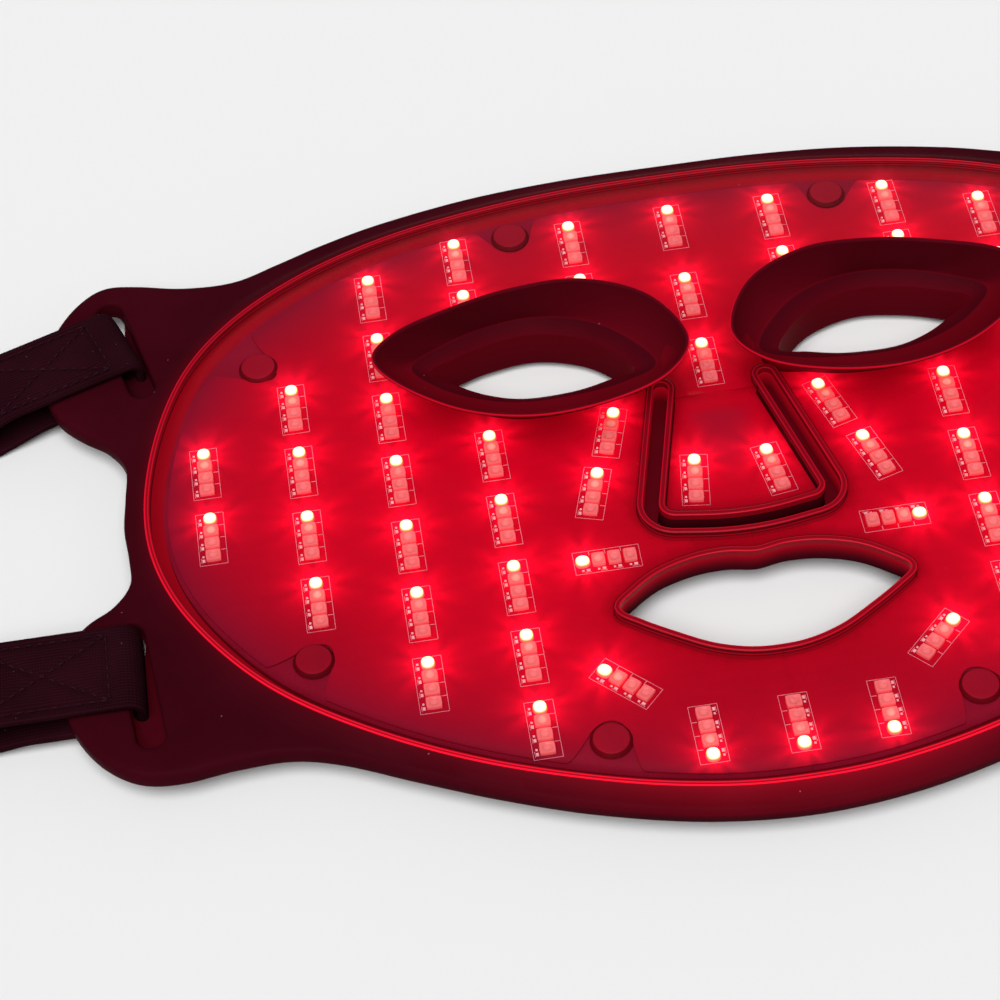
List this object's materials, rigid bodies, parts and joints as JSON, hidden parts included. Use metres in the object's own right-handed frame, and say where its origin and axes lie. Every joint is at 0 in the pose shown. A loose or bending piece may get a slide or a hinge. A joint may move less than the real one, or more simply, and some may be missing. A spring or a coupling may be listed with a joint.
{
  "type": "led face mask",
  "caption": "Flexible silicone face mask with clear inner window over clusters of red lights, flared eye cups, nose flap, mouth opening and padded head straps.",
  "frame": {"origin": "on the surface the mask lies on, under the middle of the inlet housing at the chin", "axes": "+X to the side of the empty tabs, +Y from the chin to the forehead, +Z from the outer side to the face side"},
  "size_m": [0.5014, 0.1893, 0.024],
  "materials": {
    "silicone": "matte burgundy silicone",
    "clear_silicone": "clear glossy silicone over red light",
    "circuit": "crimson solder mask",
    "led_package": "milky packages, one in four lit",
    "foam": "closed-cell silicone foam",
    "socket_metal": "satin",
    "knit": "ribbed elastic webbing",
    "hook": "hook tape"
  },
  "bodies": {
    "mask_centre": {"clear_window": "clear_silicone", "driver_board": "circuit", "eye_cup_left": "silicone", "eye_cup_right": "silicone", "flex_circuit": "circuit", "foam_sheet": "foam", "inlet_housing": "silicone", "inlet_socket": "socket_metal", "led_brow_inner_left": "led_package", "led_brow_inner_right": "led_package", "led_brow_outer_left": "led_package", "led_brow_outer_right": "led_package", "led_centre": "led_package", "led_cheek_inner_left": "led_package", "led_cheek_inner_right": "led_package", "led_cheek_middle_left": "led_package", "led_cheek_middle_right": "led_package", "led_chin": "led_package", "led_mouth_side_left": "led_package", "led_mouth_side_right": "led_package", "led_nose_side_left": "led_package", "led_nose_side_right": "led_package", "outer_shell": "silicone", "rivet_brow_left": "silicone", "rivet_brow_right": "silicone", "rivet_chin_left": "silicone", "rivet_chin_right": "silicone"},
    "cheek_left": {"clear_window_left": "clear_silicone", "flex_circuit_left": "circuit", "foam_sheet_left": "foam", "led_cheek_outer_left": "led_package", "led_temple_left": "led_package", "outer_shell_left": "silicone", "rivet_jaw_left": "silicone", "rivet_temple_left": "silicone", "strap_lower_loop": "knit", "strap_upper_loop": "knit"},
    "cheek_right": {"clear_window_right": "clear_silicone", "flex_circuit_right": "circuit", "foam_sheet_right": "foam", "led_cheek_outer_right": "led_package", "led_temple_right": "led_package", "outer_shell_right": "silicone", "rivet_jaw_right": "silicone", "rivet_temple_right": "silicone"},
    "nose_flap": {"flap_circuit": "circuit", "flap_shell": "silicone", "flap_window": "clear_silicone", "led_flap": "led_package"},
    "strap_upper": {"strap_upper_tail": "knit", "strap_upper_hook_patch": "hook"},
    "strap_lower": {"strap_lower_tail": "knit", "strap_lower_hook_patch": "hook"}
  },
  "joints": [
    {"name": "cheek_left_fold", "type": "hinge", "parent": "mask_centre", "child": "cheek_left", "pos_m": [-0.0845, 0.071, 0.0121], "axis": [0, 1, 0], "range_deg": [0, 50], "stiffness_Nm_per_rad": 0.03},
    {"name": "cheek_right_fold", "type": "hinge", "parent": "mask_centre", "child": "cheek_right", "pos_m": [0.0845, 0.071, 0.0121], "axis": [0, -1, 0], "range_deg": [0, 50], "stiffness_Nm_per_rad": 0.03},
    {"name": "nose_flap_bend", "type": "hinge", "parent": "mask_centre", "child": "nose_flap", "pos_m": [0, 0.08665, 0.0049], "axis": [1, 0, 0], "range_deg": [0, 35], "stiffness_Nm_per_rad": 0.03},
    {"name": "strap_upper_swing", "type": "hinge", "parent": "cheek_left", "child": "strap_upper", "pos_m": [-0.15495, 0.12168, 0.01255], "axis": [-0.342, 0.9397, 0], "range_deg": [0, 110]},
    {"name": "strap_lower_swing", "type": "hinge", "parent": "cheek_left", "child": "strap_lower", "pos_m": [-0.15875, 0.0341, 0.01255], "axis": [0, 1, 0], "range_deg": [0, 110]}
  ]
}
